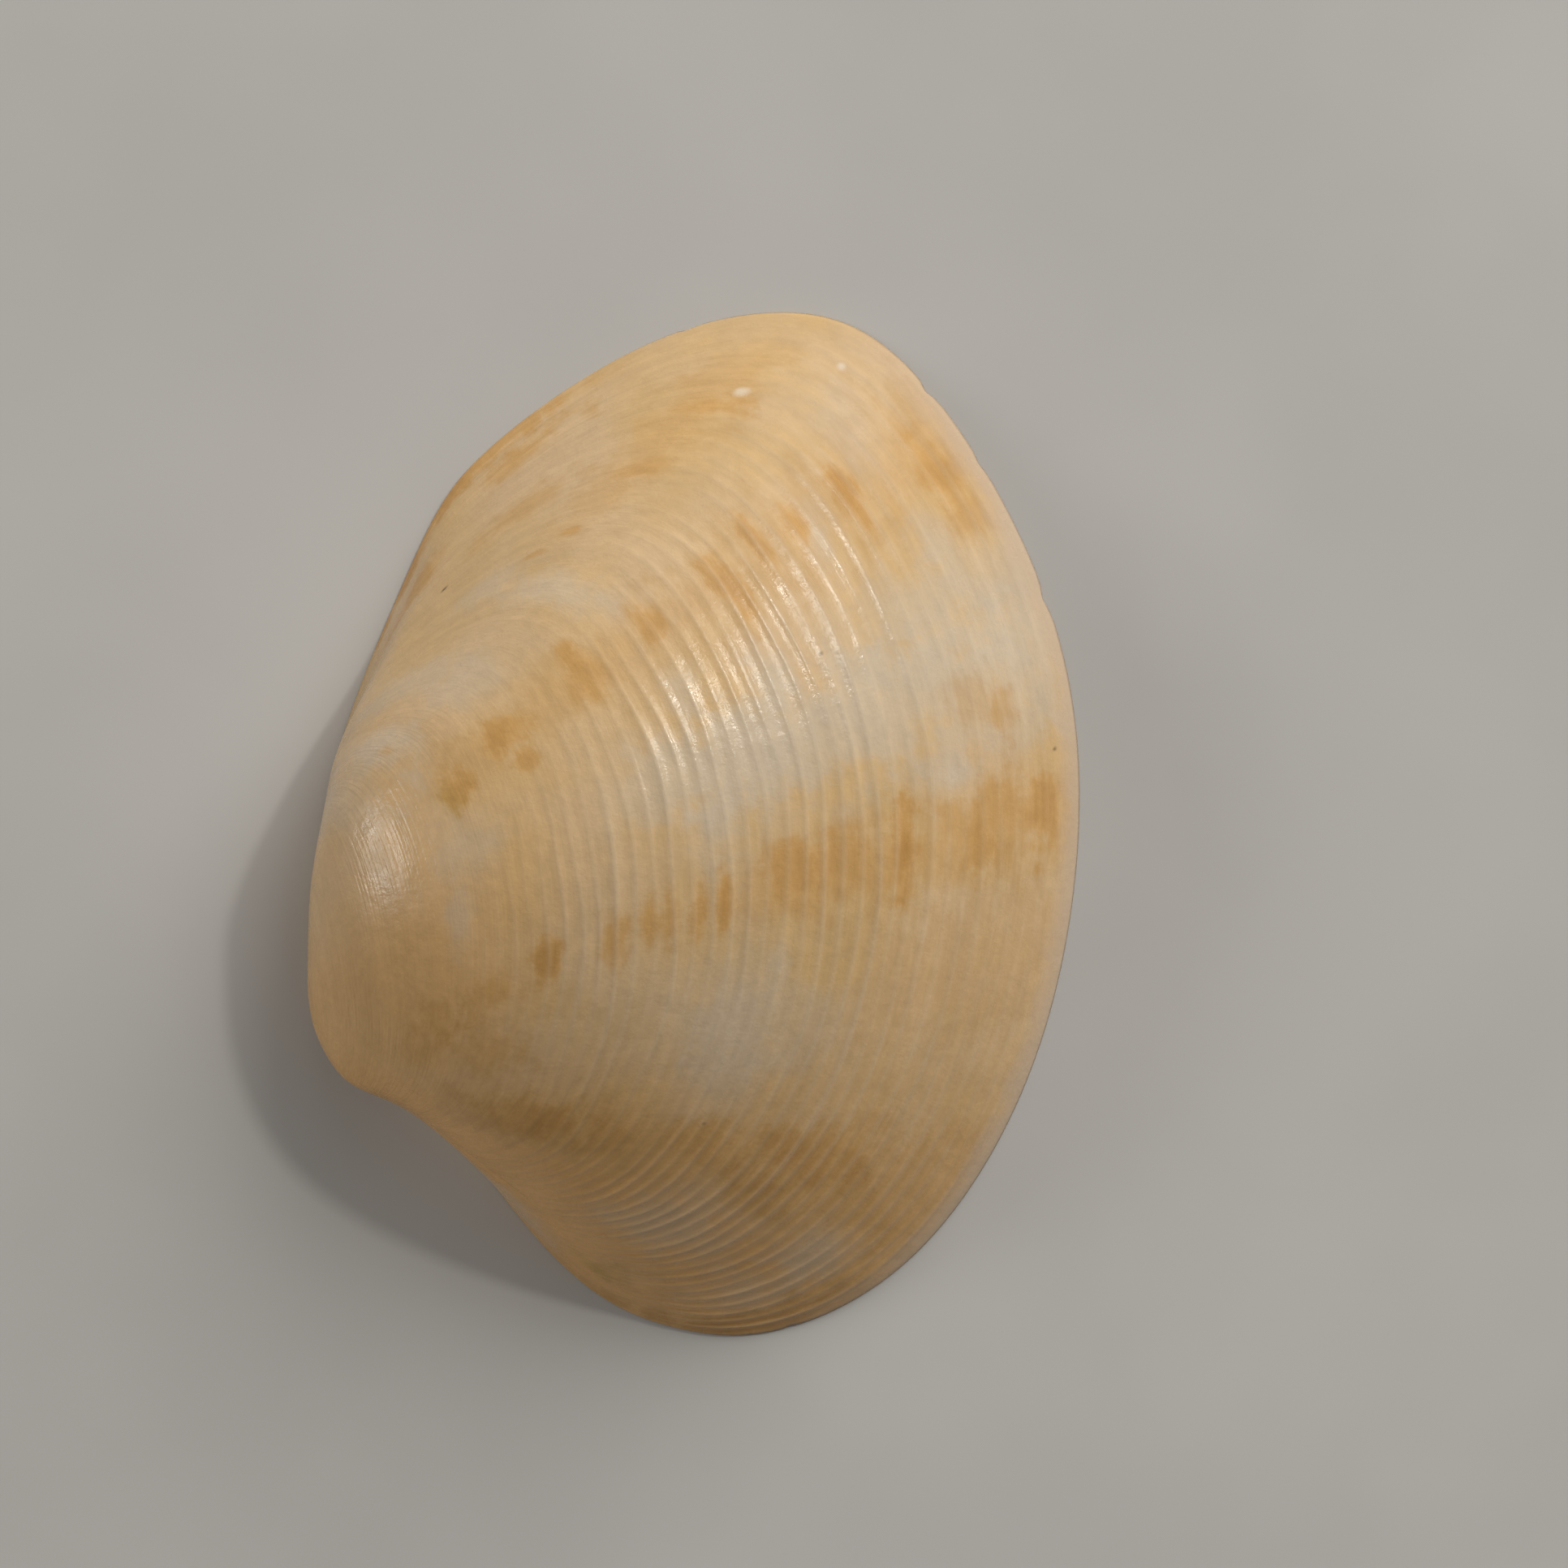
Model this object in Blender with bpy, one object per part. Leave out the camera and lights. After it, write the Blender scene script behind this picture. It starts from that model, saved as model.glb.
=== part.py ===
"""One valve of a ridged bivalve seashell, lying on its rim.

Row frame: metres, +Z up, origin at the centre of the base of the bounding box.
+X points to the belly edge, +Y to the rear end, and the beak is near -X.
The outside is swept the way the animal grew it. The closed rim curve turns
about an axis through the beak while it shrinks towards the beak, and each
earlier rim that this gives is one growth line.
"""
import math

import bmesh
import bpy
import numpy as np
from mathutils import Vector
from mathutils.bvhtree import BVHTree

MM = 0.001

# The rim in the z = 0 plane, in mm: control points of a cubic B-spline that
# starts and ends at the beak and runs front end, belly edge, rear end, back.
BEAK = (-12.70, -6.86)
RIM_CONTROLS = (
    (-8.92, -11.13),
    (-5.06, -17.20),
    (-0.58, -18.93),
    (2.97, -19.20),
    (8.58, -16.60),
    (13.32, -8.77),
    (14.82, 1.64),
    (13.15, 9.55),
    (7.84, 18.04),
    (3.48, 19.41),
    (-2.22, 18.08),
    (-8.84, 13.29),
    (-10.25, 10.29),
    (-15.46, -2.17),
)

# Growth: each unit of age shrinks the rim by a factor of e. The rear fullness
# lifts the back behind the beak, as a share of the distance from the beak.
HINGE_AXIS_DEG = 97.03
TURN_PER_AGE = 1.141
TURN_SLOWING = 0.115
AGE_OF_TIP = 2.8
SIDE_FLOOR = 0.15
REAR_FULLNESS = 0.3

# Shift of the older stages, in mm: with each unit of age the beak moves out a
# little, and what lies well away from it moves towards the rear.
BEAK_SHIFT = (-0.22, -0.09, 0.22)
REAR_SHIFT = (-0.04, 1.21, 0.0)
REAR_SHIFT_RATE = 1.7
REAR_SHIFT_REACH = 2.5

# Swellings of the umbo, in mm: centre, reach and push. The first rounds it out
# over the front of the beak, the second draws it in above the beak, and the
# third carries its rear flank out over the hinge.
SWELLINGS = (
    ((-12.9, -9.2, 2.8), 1.43, (-0.33, -0.67, 0.0)),
    ((-13.1, -5.5, 2.5), 2.95, (0.45, 0.20, 0.0)),
    ((-12.3, 2.4, 3.2), 3.10, (-1.10, 0.25, 0.30)),
)

# Concentric ridges: the age between two at the rim, how much the step widens
# from each to the next, and the crest's share of the distance between two.
RIDGE_COUNT = 36
RIDGE_STEP = 0.019
RIDGE_WIDENING = 0.022
RIDGE_STEEPNESS = 0.19
RIDGE_HEIGHT = 0.11
FRONT_EDGE = 0.11
FRONT_FADE = 0.09
REAR_EDGE = 0.71
REAR_FADE = 0.09
FAINT_EDGE = 0.88
FAINT_SHARE = 0.12
UMBO_ROWS = 14
COLUMNS = 46

# Inside of the valve.
WALL = 1.2
RIM_LAND = 0.8
HINGE_PLATE = 2.6
HINGE_SPREAD_DEG = 38.0
CAVITY_CENTRE = (1.2, 0.0)
CAVITY_STEPS = (0.0, 0.04, 0.10, 0.18, 0.28, 0.42, 0.58, 0.78)
CAVITY_COLUMNS = 44
CAVITY_SHOULDER = 0.24
LID_DROP = 0.6

# Sockets between the hinge teeth, radiating from below the beak.
SOCKET_ANGLES_DEG = (-27.0, 9.0, 47.0)
SOCKET_START = 0.8
SOCKET_LENGTH = 2.2
SOCKET_WIDTH = 1.3
SOCKET_DEPTH = 0.8


def new_collection(name, hidden=False):
    """Add a collection to the scene."""
    group = bpy.data.collections.new(name)
    bpy.context.scene.collection.children.link(group)
    group.hide_render = hidden
    return group


def basis_rows(count, params):
    """Weights of a clamped uniform cubic B-spline with count controls."""
    inner = np.linspace(0.0, 1.0, count - 2)
    knots = np.concatenate([[0.0] * 3, inner, [1.0] * 3])
    params = np.clip(params, 0.0, 1.0 - 1e-9)
    weights = np.zeros((len(params), len(knots) - 1))
    for i in range(len(knots) - 1):
        weights[:, i] = (knots[i] <= params) & (params < knots[i + 1])
    for degree in (1, 2, 3):
        raised = np.zeros((len(params), weights.shape[1] - 1))
        for i in range(weights.shape[1] - 1):
            rise = knots[i + degree] - knots[i]
            fall = knots[i + degree + 1] - knots[i + 1]
            if rise > 0.0:
                raised[:, i] += (params - knots[i]) / rise * weights[:, i]
            if fall > 0.0:
                back = (knots[i + degree + 1] - params) / fall
                raised[:, i] += back * weights[:, i + 1]
        weights = raised
    return weights


def rim_curve(params):
    """Points of the rim, in mm, for parameters from 0 to 1."""
    controls = np.array([BEAK, *RIM_CONTROLS, BEAK])
    return basis_rows(len(controls), params) @ controls


def bell(offsets, reach):
    """Bell-shaped falloff with distance, for each row of offsets."""
    return np.exp(-(offsets ** 2).sum(axis=1) / (2.0 * reach ** 2))


def outer_point(age, rim):
    """Where the rim points lay at this age, in mm, before any ridge."""
    beak = np.array(BEAK)
    angle = math.radians(HINGE_AXIS_DEG)
    along = np.array([math.cos(angle), math.sin(angle)])
    across = np.array([math.sin(angle), -math.cos(angle)])
    arm = rim - beak
    shrink = math.exp(-age)
    turn = TURN_PER_AGE * age - TURN_SLOWING * age * age
    side = shrink * (arm @ across)
    flat = np.outer(shrink * (arm @ along), along)
    flat += np.outer(math.cos(turn) * side, across)
    floor = SIDE_FLOOR + REAR_FULLNESS * shrink * np.maximum(0.0, arm @ along)
    lever = 0.5 * (side + np.hypot(side, floor))
    lift = math.sin(turn) * lever
    spiral = np.column_stack([flat, lift])
    clear = 1.0 - bell(spiral, REAR_SHIFT_REACH)
    clear *= 1.0 - math.exp(-REAR_SHIFT_RATE * age)
    points = spiral + (*BEAK, 0.0) + age * np.array(BEAK_SHIFT)
    points += np.outer(clear, REAR_SHIFT)
    raised = 1.0 - np.exp(-points[:, 2])
    swollen = points.copy()
    for centre, reach, push in SWELLINGS:
        swollen += np.outer(raised * bell(points - centre, reach), push)
    return swollen


def ridge_ages():
    """Ages of the grooves and crests in turn, from the rim to the umbo."""
    steps = np.arange(2 * RIDGE_COUNT + 1) / 2.0
    return RIDGE_STEP / RIDGE_WIDENING * np.expm1(RIDGE_WIDENING * steps)


def ridge_share(age, place):
    """Share of the full crest height, by age and by place along the rim."""
    old = np.clip((1.05 - age) / 0.4, 0.0, 1.0)
    new = np.clip(age / 0.03, 0.0, 1.0)
    front = np.clip((place - FRONT_EDGE - 0.1 * age) / FRONT_FADE, 0.0, 1.0)
    rear_edge = REAR_EDGE - 0.2 * max(0.0, age - 0.3)
    rear = np.clip((rear_edge - place) / REAR_FADE, 0.0, 1.0)
    faint = FAINT_SHARE * np.clip((FAINT_EDGE - place) / REAR_FADE, 0.0, 1.0)
    return old * new * front * np.maximum(rear, faint)


def outer_rows(with_ridges):
    """Grid of the outside, in mm: rows by age, columns along the rim."""
    place = np.arange(COLUMNS) / COLUMNS
    rim = rim_curve(place)
    ages = ridge_ages()
    umbo_ages = np.linspace(ages[-1], AGE_OF_TIP, UMBO_ROWS + 1)[1:]
    ages = np.concatenate([ages, umbo_ages])
    grid = np.array([outer_point(age, rim) for age in ages])
    if not with_ridges:
        return grid
    along = np.roll(grid, -1, axis=1) - np.roll(grid, 1, axis=1)
    across = np.cross(along, np.gradient(grid, axis=0))
    normal = across / (np.linalg.norm(across, axis=2, keepdims=True) + 1e-9)
    for row in range(1, 2 * RIDGE_COUNT, 2):
        gap = np.linalg.norm(grid[row + 1] - grid[row - 1], axis=1)
        height = np.minimum(RIDGE_HEIGHT, RIDGE_STEEPNESS * gap)
        height *= ridge_share(ages[row], place)
        grid[row] += normal[row] * height[:, None]
    return grid


def body_mesh(grid):
    """Closed solid between the outside grid and the flat base."""
    mesh = bmesh.new()
    rows = []
    for line in grid:
        rows.append([mesh.verts.new(Vector(p) * MM) for p in line])
    count = len(rows[0])
    for near, far in zip(rows, rows[1:]):
        for i in range(count):
            j = (i + 1) % count
            mesh.faces.new((near[i], near[j], far[j], far[i]))
    tip = mesh.verts.new(Vector(grid[-1].mean(axis=0)) * MM)
    for i in range(count):
        mesh.faces.new((rows[-1][i], rows[-1][(i + 1) % count], tip))
    mesh.faces.new(list(reversed(rows[0])))
    bmesh.ops.recalc_face_normals(mesh, faces=mesh.faces)
    return mesh


def rim_reach(angles):
    """Distance from the cavity centre to the rim, by direction."""
    rim = rim_curve(np.linspace(0.0, 1.0, 400)) - np.array(CAVITY_CENTRE)
    bearing = np.arctan2(rim[:, 1], rim[:, 0])
    order = np.argsort(bearing)
    reach = np.hypot(rim[:, 0], rim[:, 1])
    return np.interp(angles, bearing[order], reach[order], period=math.tau)


def cavity_mesh(ceiling):
    """Dome that is cut out of the body, with its lid below the base."""
    angles = np.arange(CAVITY_COLUMNS) * math.tau / CAVITY_COLUMNS
    beak = np.array(BEAK) - np.array(CAVITY_CENTRE)
    hinge_bearing = math.atan2(beak[1], beak[0])
    off_hinge = np.abs((angles - hinge_bearing + math.pi) % math.tau - math.pi)
    hinge = np.exp(-(off_hinge / math.radians(HINGE_SPREAD_DEG)) ** 2)
    reach = rim_reach(angles) - RIM_LAND - HINGE_PLATE * hinge
    mesh = bmesh.new()
    lid = []
    rows = []
    for step in CAVITY_STEPS:
        row = []
        for angle, far in zip(angles, reach):
            x = CAVITY_CENTRE[0] + far * (1.0 - step) * math.cos(angle)
            y = CAVITY_CENTRE[1] + far * (1.0 - step) * math.sin(angle)
            if step == 0.0:
                lid.append(mesh.verts.new((x * MM, y * MM, -LID_DROP * MM)))
            rise = 1.0 - (1.0 - min(1.0, step / CAVITY_SHOULDER)) ** 2
            z = max(0.02, rise * (ceiling(x, y) - WALL))
            row.append(mesh.verts.new((x * MM, y * MM, z * MM)))
        rows.append(row)
    rows.insert(0, lid)
    for near, far in zip(rows, rows[1:]):
        for i in range(CAVITY_COLUMNS):
            j = (i + 1) % CAVITY_COLUMNS
            mesh.faces.new((near[i], near[j], far[j], far[i]))
    x, y = CAVITY_CENTRE
    top = mesh.verts.new((x * MM, y * MM, (ceiling(x, y) - WALL) * MM))
    for i in range(CAVITY_COLUMNS):
        mesh.faces.new((rows[-1][i], rows[-1][(i + 1) % CAVITY_COLUMNS], top))
    mesh.faces.new(list(reversed(lid)))
    bmesh.ops.recalc_face_normals(mesh, faces=mesh.faces)
    return mesh


def ceiling_finder(smooth_body):
    """Function giving the height of the smooth outside over a point, mm."""
    tree = BVHTree.FromBMesh(smooth_body)

    def height(x, y):
        start = Vector((x, y, 40.0)) * MM
        spot = tree.ray_cast(start, Vector((0.0, 0.0, -1.0)))[0]
        return spot.z / MM if spot else 0.0

    return height


def socket_mesh(angle_deg):
    """Tapered groove between two hinge teeth."""
    mesh = bmesh.new()
    bmesh.ops.create_cube(mesh, size=1.0)
    for vert in mesh.verts:
        narrow = 0.55 if vert.co.x < 0.0 else 1.0
        flare = 1.0 if vert.co.z < 0.0 else 0.7
        vert.co.x *= SOCKET_LENGTH * MM
        vert.co.y *= SOCKET_WIDTH * narrow * flare * MM
        vert.co.z *= 2.0 * SOCKET_DEPTH * MM
    turn = math.radians(angle_deg)
    middle = SOCKET_START + SOCKET_LENGTH / 2.0
    cos_turn, sin_turn = math.cos(turn), math.sin(turn)
    for vert in mesh.verts:
        x = vert.co.x + middle * MM
        y = vert.co.y
        vert.co.x = BEAK[0] * MM + x * cos_turn - y * sin_turn
        vert.co.y = BEAK[1] * MM + x * sin_turn + y * cos_turn
    return mesh


def add_object(name, mesh, group):
    """Object made from a bmesh, in a collection."""
    data = bpy.data.meshes.new(name)
    mesh.to_mesh(data)
    mesh.free()
    thing = bpy.data.objects.new(name, data)
    group.objects.link(thing)
    return thing


def cut(target, cutter):
    """Subtract a cutter from the target."""
    step = target.modifiers.new("cut " + cutter.name, "BOOLEAN")
    step.operation = "DIFFERENCE"
    step.solver = "EXACT"
    step.object = cutter
    cutter.display_type = "WIRE"
    cutter.hide_render = True


def apply_modifiers(thing):
    """Replace the mesh with its evaluated form."""
    bpy.context.view_layer.update()
    graph = bpy.context.evaluated_depsgraph_get()
    data = bpy.data.meshes.new_from_object(thing.evaluated_get(graph))
    thing.modifiers.clear()
    thing.data = data


def shell_material():
    """Cream, softly glossy shell."""
    material = bpy.data.materials.new("shell")
    material.use_nodes = True
    shader = material.node_tree.nodes["Principled BSDF"]
    shader.inputs["Base Color"].default_value = (0.68, 0.50, 0.29, 1.0)
    shader.inputs["Roughness"].default_value = 0.42
    shader.inputs["Metallic"].default_value = 0.0
    return material


def main():
    for thing in list(bpy.data.objects):
        bpy.data.objects.remove(thing, do_unlink=True)

    parts = new_collection("bivalve valve")
    cutters = new_collection("cutters", hidden=True)

    smooth = body_mesh(outer_rows(with_ridges=False))
    ceiling = ceiling_finder(smooth)
    smooth.free()

    valve = add_object("valve", body_mesh(outer_rows(with_ridges=True)), parts)
    cut(valve, add_object("cavity", cavity_mesh(ceiling), cutters))
    for i, angle in enumerate(SOCKET_ANGLES_DEG):
        name = "socket {}".format(i + 1)
        cut(valve, add_object(name, socket_mesh(angle), cutters))
    apply_modifiers(valve)
    valve.data.materials.clear()
    valve.data.materials.append(shell_material())


main()
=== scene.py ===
"""Looks of one valve of a ridged bivalve seashell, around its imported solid.

Row frame: metres, +Z up, the rim resting on z = 0. The camera looks straight
down, with +X to the right of the picture and +Y up. Lengths here are in mm
unless a name says otherwise.
"""

import math

import bpy
import numpy as np
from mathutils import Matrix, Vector
from mathutils.bvhtree import BVHTree


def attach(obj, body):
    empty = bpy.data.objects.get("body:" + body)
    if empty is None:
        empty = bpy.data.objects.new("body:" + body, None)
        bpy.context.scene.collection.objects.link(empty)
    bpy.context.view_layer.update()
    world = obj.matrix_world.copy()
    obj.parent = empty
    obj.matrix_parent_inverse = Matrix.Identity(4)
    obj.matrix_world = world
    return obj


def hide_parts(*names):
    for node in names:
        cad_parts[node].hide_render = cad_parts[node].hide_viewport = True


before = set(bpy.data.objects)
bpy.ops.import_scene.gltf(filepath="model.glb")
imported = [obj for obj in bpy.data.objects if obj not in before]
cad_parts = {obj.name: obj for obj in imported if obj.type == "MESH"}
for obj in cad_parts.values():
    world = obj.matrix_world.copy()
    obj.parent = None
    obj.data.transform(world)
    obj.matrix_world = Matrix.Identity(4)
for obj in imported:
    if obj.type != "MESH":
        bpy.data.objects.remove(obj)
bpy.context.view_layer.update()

MM = 0.001
TINY = 1e-9

# The rim in the z = 0 plane: control points of a cubic B-spline that starts
# and ends at the beak and runs front end, belly edge, rear end, back.
BEAK = (-12.70, -6.86)
RIM_CONTROLS = (
    (-8.92, -11.13),
    (-5.06, -17.20),
    (-0.58, -18.93),
    (2.97, -19.20),
    (8.58, -16.60),
    (13.32, -8.77),
    (14.82, 1.64),
    (13.15, 9.55),
    (7.84, 18.04),
    (3.48, 19.41),
    (-2.22, 18.08),
    (-8.84, 13.29),
    (-10.25, 10.29),
    (-15.46, -2.17),
)

# Growth: each unit of age shrinks the rim by a factor of e. The rear fullness
# lifts the back behind the beak, as a share of the distance from the beak.
HINGE_AXIS_DEG = 97.03
TURN_PER_AGE = 1.141
TURN_SLOWING = 0.115
AGE_OF_TIP = 2.8
SIDE_FLOOR = 0.15
REAR_FULLNESS = 0.3
BEAK_SHIFT = (-0.22, -0.09, 0.22)
REAR_SHIFT = (-0.04, 1.21, 0.0)
REAR_SHIFT_RATE = 1.7
REAR_SHIFT_REACH = 2.5
SWELLINGS = (
    ((-12.9, -9.2, 2.8), 1.43, (-0.33, -0.67, 0.0)),
    ((-13.1, -5.5, 2.5), 2.95, (0.45, 0.20, 0.0)),
    ((-12.3, 2.4, 3.2), 3.10, (-1.10, 0.25, 0.30)),
)

# Concentric ridges: age between two at the rim and how the step widens. The
# steepness is the most height for each mm from one ridge to the next. The
# phases are where the mesh rows lie from one ridge to the next.
RIDGE_COUNT = 36
RIDGE_STEP = 0.019
RIDGE_WIDENING = 0.022
RIDGE_HEIGHT = 0.048
RIDGE_STEEPNESS = 0.088
RIDGE_WOBBLE = 0.20
RIDGE_PHASES = (0.0, 0.28, 0.41, 0.52, 0.63, 0.78)
CREST_PHASE = 0.52
CREST_WIDTH = 0.17
CREST_CAP = 1.2
UMBO_GAP = 0.1

# How each ridge wanders: seed, most turns round the rim and most drift. It
# wanders fully from this many ridges behind the rim, and stops at the umbo.
WANDER = (3, 9, 1.8)
WANDER_FREE_ROW = 2.0
WANDER_UMBO_FADE = 0.15

# How strong each ridge is: a mean, waves and limits. Each line of waves is its
# share, seed, jump from ridge to ridge, most turns and most drift.
STRENGTH_MEAN = 0.95
STRENGTH_WAVES = (
    (0.30, 11, 5.3, 13, 1.0),
    (0.42, 29, 9.7, 2, 2.0),
)
STRENGTH_LIMITS = (0.10, 1.7)

# Where the ridges fade, by place and age: on the umbo, sooner on its front
# side, at the rim, and towards the front and the rear end. Behind the rear
# edge they go on faintly.
OLD_EDGE = 1.08
OLD_FADE = 0.4
OLD_FRONT_CUT = 0.30
OLD_FRONT_EDGE = 0.36
OLD_FRONT_FADE = 0.08
NEW_FADE = 0.03
NEW_SHARE = 0.25
FRONT_EDGE = 0.11
FRONT_DRIFT = 0.1
FRONT_FADE = 0.09
REAR_EDGE = 0.70
REAR_DRIFT = 0.25
REAR_DRIFT_AGE = 0.33
REAR_FADE = 0.13
FAINT_EDGE = 0.88
FAINT_SHARE = 0.07

# Two calmer areas: place, half width, how much flatter, and the slope and
# offset of their share with age. The belly is calm when young, the flank when
# old.
CALM_BELLY = (0.46, 0.13, 0.72, -4.0, 1.4)
CALM_FLANK = (0.325, 0.045, 0.55, 4.0, -1.2)

# Fine groove round the lunule, in front of the beak.
LUNULE_PLACE = 0.087
LUNULE_DRIFT = 0.13
LUNULE_DRIFT_AGE = 0.45
LUNULE_WIDTH = 0.006
LUNULE_DEPTH = 0.05
LUNULE_NEW_FADE = 0.02
LUNULE_OLD_EDGE = 1.1
LUNULE_OLD_FADE = 0.4

# Rows and columns of the mesh. The columns are closer at the hinge. The
# smooth outside that the hollow follows is coarser.
UMBO_ROWS = 50
COLUMNS = 272
HINGE_SHARE = 0.06
HINGE_DENSITY = 2.5
PLACE_SAMPLES = 2001
CEILING_ROWS = 70
CEILING_COLUMNS = 160
RAY_START = 40.0

# Rounded lip and small chips of the rim: place along it, half width, depth.
# Neither reaches the beak.
LIP_AGE = 0.004
LIP_INSET = 0.10
LIP_BEAK_FADE = 0.02
CHIP_AGE = 3.0 * LIP_AGE
CHIPS = (
    (0.604, 0.0035, 0.14),
    (0.573, 0.0025, 0.09),
    (0.526, 0.0040, 0.13),
    (0.236, 0.0030, 0.06),
    (0.742, 0.0030, 0.06),
)

# Inside of the valve.
WALL = 1.2
RIM_LAND = 0.8
HINGE_PLATE = 2.6
HINGE_SPREAD_DEG = 38.0
CAVITY_CENTRE = (1.2, 0.0)
CAVITY_SHOULDER = 0.24
CAVITY_LEAST = 0.02
LAND_ROWS = 16
CAVITY_ROWS = 44
CAVITY_CROWDING = 1.25

# Sockets between the hinge teeth, radiating from below the beak.
SOCKET_ANGLES_DEG = (-27.0, 9.0, 47.0)
SOCKET_START = 0.8
SOCKET_LENGTH = 2.2
SOCKET_WIDTH = 1.3
SOCKET_NARROW = 0.55
SOCKET_FLARE = 0.45
SOCKET_DEPTH = 0.8
SOCKET_SOFT_END = 0.2
SOCKET_SOFT_SIDE = 0.16
SOCKET_RUN_OUT = 12.0

# Marks of the muscles inside: centre, half length, half width, turn.
MUSCLE_SCARS = (
    ((-1.6, -11.6), 2.9, 1.7, 35.0),
    ((-0.6, 11.6), 3.1, 2.1, -25.0),
)
SCAR_REACH = 0.9
SCAR_SOFT = 0.12
SCAR_DEPTH = 0.07

# The line where the mantle was fixed, as a share of the way from the middle
# to the rim land, and its rear bay. Bearings are in radians.
PALLIAL_LINE = 0.74
PALLIAL_WIDTH = 0.014
PALLIAL_MIDDLE = 0.10
PALLIAL_HALF = 1.55
PALLIAL_SOFT = 0.15
PALLIAL_SHARE = 0.6
BAY_BEARING = 1.05
BAY_HALF = 0.20
BAY_DEPTH = 0.30

# The photograph's frame: its side in pixels, the size of one pixel on the
# object, and the pixel that the row frame's origin falls on.
PHOTO_SIDE = 1932
PIXEL = 0.029945
ORIGIN_PIXEL = (856.5, 1014.5)
LENS = 500.0
SENSOR = 36.0


def basis_rows(count, params):
    """Weights of a clamped uniform cubic B-spline with count controls."""
    inner = np.linspace(0.0, 1.0, count - 2)
    knots = np.concatenate([[0.0] * 3, inner, [1.0] * 3])
    params = np.clip(params, 0.0, 1.0 - TINY)
    weights = np.zeros((len(params), len(knots) - 1))
    for i in range(len(knots) - 1):
        weights[:, i] = (knots[i] <= params) & (params < knots[i + 1])
    for degree in (1, 2, 3):
        raised = np.zeros((len(params), weights.shape[1] - 1))
        for i in range(weights.shape[1] - 1):
            rise = knots[i + degree] - knots[i]
            fall = knots[i + degree + 1] - knots[i + 1]
            if rise > 0.0:
                raised[:, i] += (params - knots[i]) / rise * weights[:, i]
            if fall > 0.0:
                back = (knots[i + degree + 1] - params) / fall
                raised[:, i] += back * weights[:, i + 1]
        weights = raised
    return weights


def rim_curve(params):
    """Points of the rim for parameters from 0 to 1."""
    controls = np.array([BEAK, *RIM_CONTROLS, BEAK])
    return basis_rows(len(controls), params) @ controls


def bell(offsets, reach):
    """Bell-shaped falloff with distance, for each row of offsets."""
    return np.exp(-(offsets ** 2).sum(axis=-1) / (2.0 * reach ** 2))


def outer_point(age, rim):
    """Where rim points lay at their ages, before any ridge, as arrays."""
    angle = math.radians(HINGE_AXIS_DEG)
    along = np.array([math.cos(angle), math.sin(angle)])
    across = np.array([math.sin(angle), -math.cos(angle)])
    arm = rim - np.array(BEAK)
    shrink = np.exp(-age)
    turn = TURN_PER_AGE * age - TURN_SLOWING * age * age
    side = shrink * (arm @ across)
    flat = (shrink * (arm @ along))[..., None] * along
    flat += (np.cos(turn) * side)[..., None] * across
    rearward = shrink * np.maximum(0.0, arm @ along)
    floor = SIDE_FLOOR + REAR_FULLNESS * rearward
    lever = 0.5 * (side + np.hypot(side, floor))
    lift = (np.sin(turn) * lever)[..., None]
    spiral = np.concatenate([flat, lift], axis=-1)
    clear = 1.0 - bell(spiral, REAR_SHIFT_REACH)
    clear *= 1.0 - np.exp(-REAR_SHIFT_RATE * age)
    points = spiral + (*BEAK, 0.0) + age[..., None] * np.array(BEAK_SHIFT)
    points += clear[..., None] * np.array(REAR_SHIFT)
    raised = 1.0 - np.exp(-points[..., 2])
    swollen = points.copy()
    for centre, reach, push in SWELLINGS:
        swollen += (raised * bell(points - centre, reach))[..., None] * push
    return swollen


def ridge_age(step):
    """Age at this many ridges from the rim."""
    return RIDGE_STEP / RIDGE_WIDENING * np.expm1(RIDGE_WIDENING * step)


def waves(seed, place, row, turns, drift, count=7):
    """Smooth made-up variation of about -1 to 1, whole turns round the rim."""
    draw = np.random.RandomState(seed)
    total = np.zeros(np.broadcast(place, row).shape)
    for _ in range(count):
        cycles = draw.randint(1, turns + 1)
        slope = draw.uniform(-drift, drift)
        phase = draw.uniform(0.0, math.tau)
        total += np.sin(math.tau * cycles * place + slope * row + phase)
    return total / math.sqrt(2.0 * count)


def ridge_share(age, place):
    """Share of the full crest height, by age and by place along the rim."""
    before = np.clip((OLD_FRONT_EDGE - place) / OLD_FRONT_FADE, 0.0, 1.0)
    old_edge = OLD_EDGE - OLD_FRONT_CUT * before
    old = np.clip((old_edge - age) / OLD_FADE, 0.0, 1.0)
    new = np.clip(age / NEW_FADE, NEW_SHARE, 1.0)
    front_edge = FRONT_EDGE + FRONT_DRIFT * age
    front = np.clip((place - front_edge) / FRONT_FADE, 0.0, 1.0)
    drift = REAR_DRIFT * np.maximum(0.0, age - REAR_DRIFT_AGE)
    rear = np.clip((REAR_EDGE - drift - place) / REAR_FADE, 0.0, 1.0)
    faint = FAINT_SHARE * np.clip((FAINT_EDGE - place) / REAR_FADE, 0.0, 1.0)
    share = old * new * front * np.maximum(rear, faint)
    for middle, half, flatter, slope, offset in (CALM_BELLY, CALM_FLANK):
        calm = np.exp(-((place - middle) / half) ** 2)
        calm = calm * np.clip(offset + slope * age, 0.0, 1.0)
        share = share * (1.0 - flatter * calm)
    return share


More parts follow.
